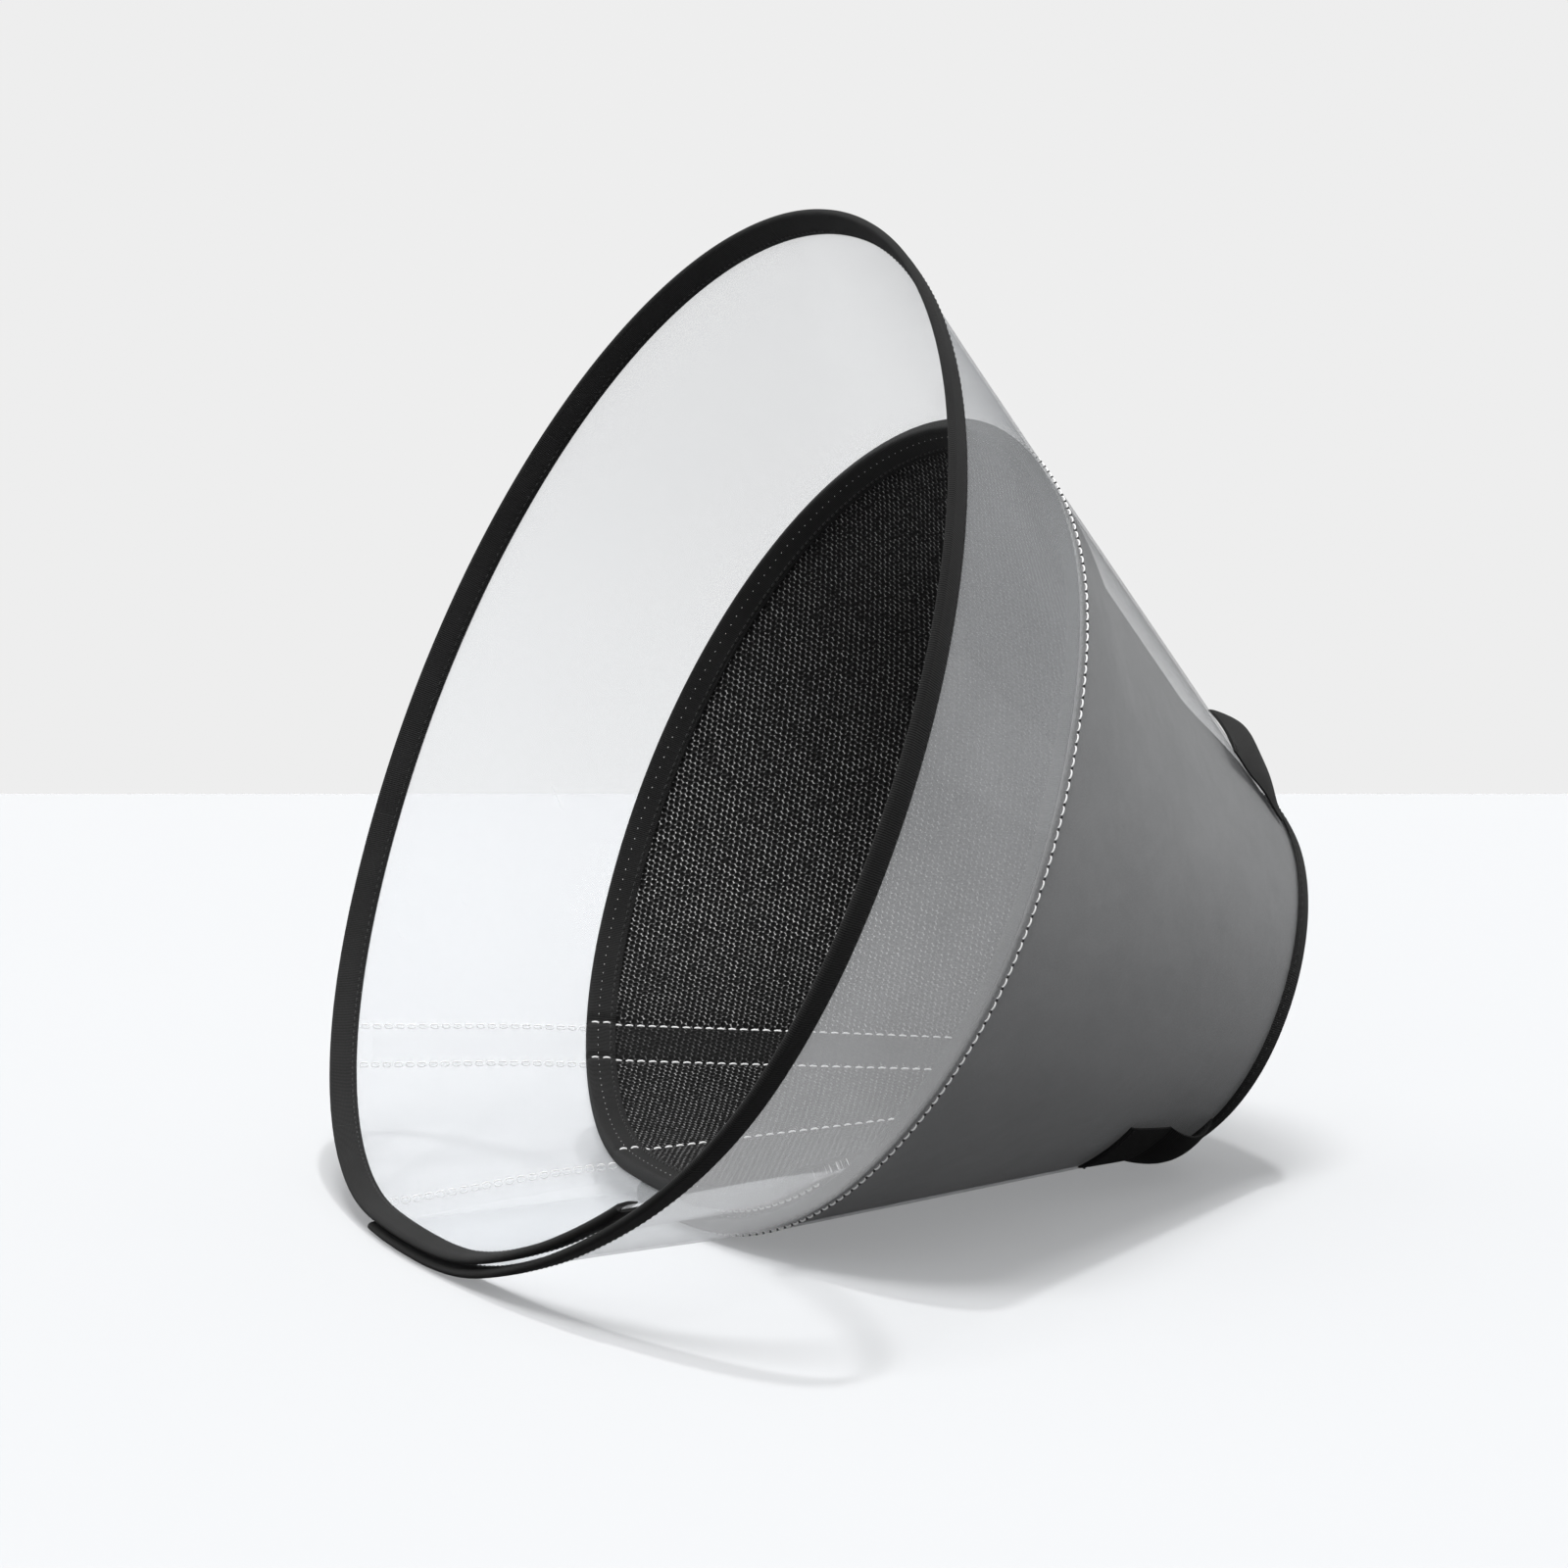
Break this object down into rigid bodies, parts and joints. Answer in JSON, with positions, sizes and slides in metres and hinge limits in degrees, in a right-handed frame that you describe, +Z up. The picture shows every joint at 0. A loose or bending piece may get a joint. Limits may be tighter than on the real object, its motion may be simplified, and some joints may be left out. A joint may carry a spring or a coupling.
{
  "type": "elizabethan collar",
  "caption": "Clear flexible pet recovery cone with a padded fabric neck panel, taped edges, hook-and-loop closure and neck loops, lying on its side; it unrolls.",
  "frame": {"origin": "on the floor, under the middle of the rim's base", "axes": "+Z up, the cone opens towards -X with its axis rising 25.75 degrees, the near side is -Y"},
  "size_m": [0.3302, 0.4001, 0.3371],
  "materials": {
    "clear_sheet": "clear flexible sheet, slightly milky, glossy",
    "outer_fabric": "smooth satin-coated grey fabric",
    "mesh_lining": "black spacer mesh",
    "binding_tape": "black ribbed bias tape, matt",
    "webbing": "black woven tape",
    "hook_and_loop": "thin translucent white hook-and-loop tape"
  },
  "bodies": {
    "base": {"clear_sheet_base": "clear_sheet", "outer_fabric_base": "outer_fabric", "mesh_lining_base": "mesh_lining", "rim_binding_base": "binding_tape", "panel_binding_base": "binding_tape", "neck_binding_base": "binding_tape", "hook_strip": "hook_and_loop"},
    "panel_1": {"clear_sheet_1": "clear_sheet", "outer_fabric_1": "outer_fabric", "mesh_lining_1": "mesh_lining", "rim_binding_1": "binding_tape", "panel_binding_1": "binding_tape", "neck_binding_1": "binding_tape", "collar_loop_near": "webbing"},
    "panel_2": {"clear_sheet_2": "clear_sheet", "outer_fabric_2": "outer_fabric", "mesh_lining_2": "mesh_lining", "rim_binding_2": "binding_tape", "panel_binding_2": "binding_tape", "neck_binding_2": "binding_tape"},
    "panel_3": {"clear_sheet_3": "clear_sheet", "outer_fabric_3": "outer_fabric", "mesh_lining_3": "mesh_lining", "rim_binding_3": "binding_tape", "panel_binding_3": "binding_tape", "neck_binding_3": "binding_tape", "collar_loop_top": "webbing"},
    "panel_4": {"clear_sheet_4": "clear_sheet", "outer_fabric_4": "outer_fabric", "mesh_lining_4": "mesh_lining", "rim_binding_4": "binding_tape", "panel_binding_4": "binding_tape", "neck_binding_4": "binding_tape"},
    "panel_5": {"clear_sheet_5": "clear_sheet", "outer_fabric_5": "outer_fabric", "mesh_lining_5": "mesh_lining", "rim_binding_5": "binding_tape", "panel_binding_5": "binding_tape", "neck_binding_5": "binding_tape"},
    "panel_6": {"clear_sheet_6": "clear_sheet", "outer_fabric_6": "outer_fabric", "mesh_lining_6": "mesh_lining", "rim_binding_6": "binding_tape", "panel_binding_6": "binding_tape", "neck_binding_6": "binding_tape", "collar_loop_far": "webbing"},
    "inner_flap": {"clear_sheet_inner_flap": "clear_sheet", "outer_fabric_inner_flap": "outer_fabric", "mesh_lining_inner_flap": "mesh_lining", "rim_binding_inner_flap": "binding_tape", "panel_binding_inner_flap": "binding_tape", "neck_binding_inner_flap": "binding_tape", "loop_strip_tight": "hook_and_loop", "loop_strip_loose": "hook_and_loop"}
  },
  "joints": [
    {"name": "fold_1", "type": "hinge", "parent": "base", "child": "panel_1", "pos_m": [0.1394, -0.07239, 0.00346], "axis": [0.9653, 0.261, -0.012], "range_deg": [0, 42]},
    {"name": "fold_2", "type": "hinge", "parent": "panel_1", "child": "panel_2", "pos_m": [0.17668, -0.13161, 0.08074], "axis": [0.8309, 0.4745, -0.2906], "range_deg": [0, 33.27]},
    {"name": "fold_3", "type": "hinge", "parent": "panel_2", "child": "panel_3", "pos_m": [0.22114, -0.11172, 0.17291], "axis": [0.6706, 0.4028, -0.623], "range_deg": [0, 33.27]},
    {"name": "fold_4", "type": "hinge", "parent": "panel_3", "child": "panel_4", "pos_m": [0.24605, -0.02467, 0.22457], "axis": [0.5807, 0.0889, -0.8092], "range_deg": [0, 33.27]},
    {"name": "fold_5", "type": "hinge", "parent": "panel_4", "child": "panel_5", "pos_m": [0.23645, 0.07722, 0.20467], "axis": [0.6153, -0.2784, -0.7375], "range_deg": [0, 28]},
    {"name": "fold_6", "type": "hinge", "parent": "panel_5", "child": "panel_6", "pos_m": [0.19811, 0.13268, 0.12516], "axis": [0.7536, -0.4784, -0.4508], "range_deg": [0, 18.12]},
    {"name": "fold_7", "type": "hinge", "parent": "panel_6", "child": "inner_flap", "pos_m": [0.15406, 0.10838, 0.03385], "axis": [0.9124, -0.3908, -0.1216], "range_deg": [0, 4.12]}
  ],
  "couplings": [
    {"joint": "fold_2", "follows": "fold_1", "ratio": 0.79216},
    {"joint": "fold_3", "follows": "fold_1", "ratio": 0.79216},
    {"joint": "fold_4", "follows": "fold_1", "ratio": 0.79216},
    {"joint": "fold_5", "follows": "fold_1", "ratio": 0.66668},
    {"joint": "fold_6", "follows": "fold_1", "ratio": 0.43137},
    {"joint": "fold_7", "follows": "fold_1", "ratio": 0.09804}
  ]
}
